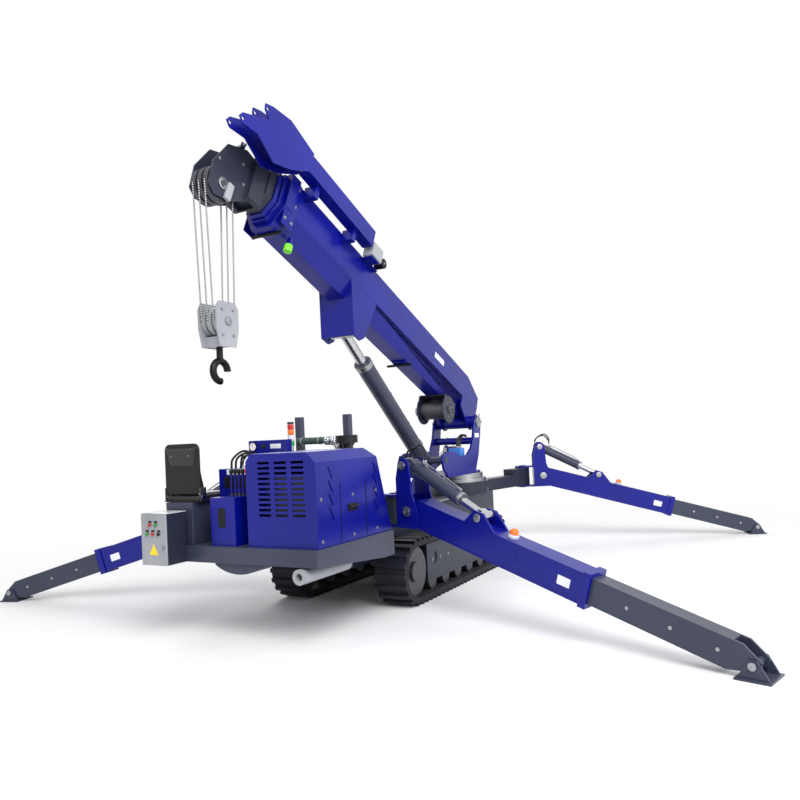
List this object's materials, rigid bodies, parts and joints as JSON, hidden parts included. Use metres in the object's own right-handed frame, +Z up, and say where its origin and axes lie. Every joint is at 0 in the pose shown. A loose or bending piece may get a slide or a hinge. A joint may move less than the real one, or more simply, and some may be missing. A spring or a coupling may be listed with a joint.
{
  "type": "spider crane",
  "caption": "Tracked spider crane standing on four spread legs, with a slewing column, a luffing telescopic boom, a hook block, an engine hood and an operator seat.",
  "frame": {"origin": "on the ground, under the middle of the box around the machine as it stands", "axes": "+X towards the slewing column end, +Y towards the operator seat side, +Z up"},
  "size_m": [7.1346, 7.6852, 4.3275],
  "materials": {
    "blue_paint": "gloss cobalt blue paint",
    "slate_paint": "satin slate grey paint",
    "rubber": "black rubber",
    "black_paint": "satin black paint",
    "bare_steel": "machined steel",
    "grey_metal": "light grey paint",
    "wire_rope": "greased wire rope",
    "cabinet_paint": "light grey powder coat",
    "valve_paint": "sky blue anodised",
    "vinyl": "black vinyl"
  },
  "bodies": {
    "root": {"tracks": "rubber", "track_frames": "slate_paint", "track_wheels": "slate_paint", "chassis_frame": "slate_paint", "slew_ring": "bare_steel", "rear_deck": "slate_paint", "engine_hood": "blue_paint", "engine_block": "grey_metal", "fuel_tank": "grey_metal", "muffler": "bare_steel", "boom_rest": "slate_paint", "air_intake": "black_paint", "signal_light": "bare_steel", "seat": "vinyl", "seat_base": "slate_paint", "lever_console": "blue_paint", "instrument_panel": "blue_paint", "cabinet_box": "cabinet_paint", "hydraulic_pipes": "bare_steel"},
    "cabinet_lid": {"cabinet_door": "cabinet_paint"},
    "slewing": {"column": "blue_paint", "valve_block": "valve_paint"},
    "boom": {"boom_base": "blue_paint", "winch_frame": "slate_paint", "fly_jib": "blue_paint"},
    "drum": {"winch_drum": "black_paint"},
    "luff_cylinder": {"luff_barrel": "slate_paint"},
    "luff_piston": {"luff_rod": "bare_steel"},
    "section_2": {"boom_section_2": "blue_paint"},
    "section_3": {"boom_section_3": "blue_paint"},
    "section_4": {"boom_section_4": "slate_paint", "head_sheaves": "black_paint"},
    "block": {"hoist_ropes": "wire_rope", "hook_block": "grey_metal"},
    "load_hook": {"hook": "black_paint"},
    "bracket_rr": {"bracket_rr": "blue_paint"},
    "leg_rr": {"outer_beam_rr": "blue_paint"},
    "leg_end_rr": {"inner_beam_rr": "slate_paint"},
    "pad_rr": {"foot_rr": "slate_paint"},
    "leg_cylinder_rr": {"leg_barrel_rr": "slate_paint"},
    "leg_piston_rr": {"leg_rod_rr": "bare_steel"},
    "bracket_rl": {"bracket_rl": "blue_paint"},
    "leg_rl": {"outer_beam_rl": "blue_paint"},
    "leg_end_rl": {"inner_beam_rl": "slate_paint"},
    "pad_rl": {"foot_rl": "slate_paint"},
    "leg_cylinder_rl": {"leg_barrel_rl": "slate_paint"},
    "leg_piston_rl": {"leg_rod_rl": "bare_steel"},
    "bracket_fr": {"bracket_fr": "blue_paint"},
    "leg_fr": {"outer_beam_fr": "blue_paint"},
    "leg_end_fr": {"inner_beam_fr": "slate_paint"},
    "pad_fr": {"foot_fr": "slate_paint"},
    "leg_cylinder_fr": {"leg_barrel_fr": "slate_paint"},
    "leg_piston_fr": {"leg_rod_fr": "bare_steel"},
    "bracket_fl": {"bracket_fl": "blue_paint"},
    "leg_fl": {"outer_beam_fl": "blue_paint"},
    "leg_end_fl": {"inner_beam_fl": "slate_paint"},
    "pad_fl": {"foot_fl": "slate_paint"},
    "leg_cylinder_fl": {"leg_barrel_fl": "slate_paint"},
    "leg_piston_fl": {"leg_rod_fl": "bare_steel"}
  },
  "joints": [
    {"name": "slew", "type": "hinge", "parent": "root", "child": "slewing", "pos_m": [0.924, 0, 1], "axis": [0, 0, 1], "continuous": true},
    {"name": "luff", "type": "hinge", "parent": "slewing", "child": "boom", "pos_m": [0.984, 0, 1.72], "axis": [0, 1, 0], "range_deg": [-20, 51]},
    {"name": "luff_barrel_tilt", "type": "hinge", "parent": "slewing", "child": "luff_cylinder", "pos_m": [-0.016, 0, 1.28], "axis": [0, 1, 0], "range_deg": [-24, 58]},
    {"name": "luff_rod_slide", "type": "slide", "parent": "luff_cylinder", "child": "luff_piston", "axis": [-0.7569, 0, 0.6535], "range_m": [-0.36, 0.9]},
    {"name": "telescope", "type": "slide", "parent": "boom", "child": "section_2", "axis": [-0.9135, 0, 0.4067], "range_m": [0, 3.3]},
    {"name": "telescope_3", "type": "slide", "parent": "section_2", "child": "section_3", "axis": [-0.9135, 0, 0.4067], "range_m": [0, 3.3]},
    {"name": "telescope_4", "type": "slide", "parent": "section_3", "child": "section_4", "axis": [-0.9135, 0, 0.4067], "range_m": [0, 3.3]},
    {"name": "winch", "type": "hinge", "parent": "boom", "child": "drum", "pos_m": [0.38353, 0, 1.88336], "axis": [0, 1, 0], "continuous": true},
    {"name": "block_hang", "type": "hinge", "parent": "section_4", "child": "block", "pos_m": [-3.40509, 0, 3.6632], "axis": [0, 1, 0], "range_deg": [-52, 22]},
    {"name": "hook_swivel", "type": "hinge", "parent": "block", "child": "load_hook", "pos_m": [-3.40509, 0, 2.2932], "axis": [0, 0, 1], "continuous": true},
    {"name": "cabinet_hinge", "type": "hinge", "parent": "root", "child": "cabinet_lid", "pos_m": [-3.538, 0.8, 0.8575], "axis": [0, 0, -1], "range_deg": [0, 110]},
    {"name": "swing_rr", "type": "hinge", "parent": "root", "child": "bracket_rr", "pos_m": [-1.906, -0.672, 0.93], "axis": [0, 0, -1], "range_deg": [-45, 12]},
    {"name": "raise_rr", "type": "hinge", "parent": "bracket_rr", "child": "leg_rr", "pos_m": [-1.9813, -0.94169, 0.93], "axis": [-0.9632, 0.2689, 0], "range_deg": [-6, 24]},
    {"name": "extend_rr", "type": "slide", "parent": "leg_rr", "child": "leg_end_rr", "axis": [-0.2582, -0.9247, -0.2797], "range_m": [-0.75, 0.15]},
    {"name": "pad_tilt_rr", "type": "hinge", "parent": "leg_end_rr", "child": "pad_rr", "pos_m": [-2.75198, -3.70195, 0.095], "axis": [-0.9632, 0.2689, 0], "range_deg": [-10, 10]},
    {"name": "cylinder_tilt_rr", "type": "hinge", "parent": "bracket_rr", "child": "leg_cylinder_rr", "pos_m": [-1.97242, -0.9099, 1.334], "axis": [-0.9632, 0.2689, 0], "range_deg": [-6, 21]},
    {"name": "rod_slide_rr", "type": "slide", "parent": "leg_cylinder_rr", "child": "leg_piston_rr", "axis": [-0.2372, -0.8494, -0.4715], "range_m": [-0.16, 0.05]},
    {"name": "swing_rl", "type": "hinge", "parent": "root", "child": "bracket_rl", "pos_m": [-1.906, 0.672, 0.93], "axis": [0, 0, 1], "range_deg": [-45, 12]},
    {"name": "raise_rl", "type": "hinge", "parent": "bracket_rl", "child": "leg_rl", "pos_m": [-1.9813, 0.94169, 0.93], "axis": [0.9632, 0.2689, 0], "range_deg": [-6, 24]},
    {"name": "extend_rl", "type": "slide", "parent": "leg_rl", "child": "leg_end_rl", "axis": [-0.2582, 0.9247, -0.2797], "range_m": [-0.75, 0.15]},
    {"name": "pad_tilt_rl", "type": "hinge", "parent": "leg_end_rl", "child": "pad_rl", "pos_m": [-2.75198, 3.70195, 0.095], "axis": [0.9632, 0.2689, 0], "range_deg": [-10, 10]},
    {"name": "cylinder_tilt_rl", "type": "hinge", "parent": "bracket_rl", "child": "leg_cylinder_rl", "pos_m": [-1.97242, 0.9099, 1.334], "axis": [0.9632, 0.2689, 0], "range_deg": [-6, 21]},
    {"name": "rod_slide_rl", "type": "slide", "parent": "leg_cylinder_rl", "child": "leg_piston_rl", "axis": [-0.2372, 0.8494, -0.4715], "range_m": [-0.16, 0.05]},
    {"name": "swing_fr", "type": "hinge", "parent": "root", "child": "bracket_fr", "pos_m": [2.146, -0.45, 0.93], "axis": [0, 0, 1], "range_deg": [-40, 20]},
    {"name": "raise_fr", "type": "hinge", "parent": "bracket_fr", "child": "leg_fr", "pos_m": [2.25854, -0.70639, 0.93], "axis": [-0.9157, -0.4019, 0], "range_deg": [-6, 24]},
    {"name": "extend_fr", "type": "slide", "parent": "leg_fr", "child": "leg_end_fr", "axis": [0.3859, -0.8791, -0.2797], "range_m": [-0.75, 0.15]},
    {"name": "pad_tilt_fr", "type": "hinge", "parent": "leg_end_fr", "child": "pad_fr", "pos_m": [3.41046, -3.33052, 0.095], "axis": [-0.9157, -0.4019, 0], "range_deg": [-10, 10]},
    {"name": "cylinder_tilt_fr", "type": "hinge", "parent": "bracket_fr", "child": "leg_cylinder_fr", "pos_m": [2.24528, -0.67617, 1.334], "axis": [-0.9157, -0.4019, 0], "range_deg": [-6, 21]},
    {"name": "rod_slide_fr", "type": "slide", "parent": "leg_cylinder_fr", "child": "leg_piston_fr", "axis": [0.3545, -0.8075, -0.4715], "range_m": [-0.16, 0.05]},
    {"name": "swing_fl", "type": "hinge", "parent": "root", "child": "bracket_fl", "pos_m": [2.146, 0.45, 0.93], "axis": [0, 0, -1], "range_deg": [-40, 20]},
    {"name": "raise_fl", "type": "hinge", "parent": "bracket_fl", "child": "leg_fl", "pos_m": [2.25854, 0.70639, 0.93], "axis": [0.9157, -0.4019, 0], "range_deg": [-6, 24]},
    {"name": "extend_fl", "type": "slide", "parent": "leg_fl", "child": "leg_end_fl", "axis": [0.3859, 0.8791, -0.2797], "range_m": [-0.75, 0.15]},
    {"name": "pad_tilt_fl", "type": "hinge", "parent": "leg_end_fl", "child": "pad_fl", "pos_m": [3.41046, 3.33052, 0.095], "axis": [0.9157, -0.4019, 0], "range_deg": [-10, 10]},
    {"name": "cylinder_tilt_fl", "type": "hinge", "parent": "bracket_fl", "child": "leg_cylinder_fl", "pos_m": [2.24528, 0.67617, 1.334], "axis": [0.9157, -0.4019, 0], "range_deg": [-6, 21]},
    {"name": "rod_slide_fl", "type": "slide", "parent": "leg_cylinder_fl", "child": "leg_piston_fl", "axis": [0.3545, 0.8075, -0.4715], "range_m": [-0.16, 0.05]}
  ],
  "couplings": [
    {"joint": "luff_barrel_tilt", "follows": "luff", "ratio": 1.06},
    {"joint": "luff_rod_slide", "follows": "luff", "m_per_rad": 1},
    {"joint": "telescope_3", "follows": "telescope", "ratio": 1},
    {"joint": "telescope_4", "follows": "telescope", "ratio": 1},
    {"joint": "block_hang", "follows": "luff", "ratio": -1},
    {"joint": "cylinder_tilt_rr", "follows": "raise_rr", "ratio": 0.8},
    {"joint": "rod_slide_rr", "follows": "raise_rr", "m_per_rad": -0.36},
    {"joint": "cylinder_tilt_rl", "follows": "raise_rl", "ratio": 0.8},
    {"joint": "rod_slide_rl", "follows": "raise_rl", "m_per_rad": -0.36},
    {"joint": "cylinder_tilt_fr", "follows": "raise_fr", "ratio": 0.8},
    {"joint": "rod_slide_fr", "follows": "raise_fr", "m_per_rad": -0.36},
    {"joint": "cylinder_tilt_fl", "follows": "raise_fl", "ratio": 0.8},
    {"joint": "rod_slide_fl", "follows": "raise_fl", "m_per_rad": -0.36}
  ]
}
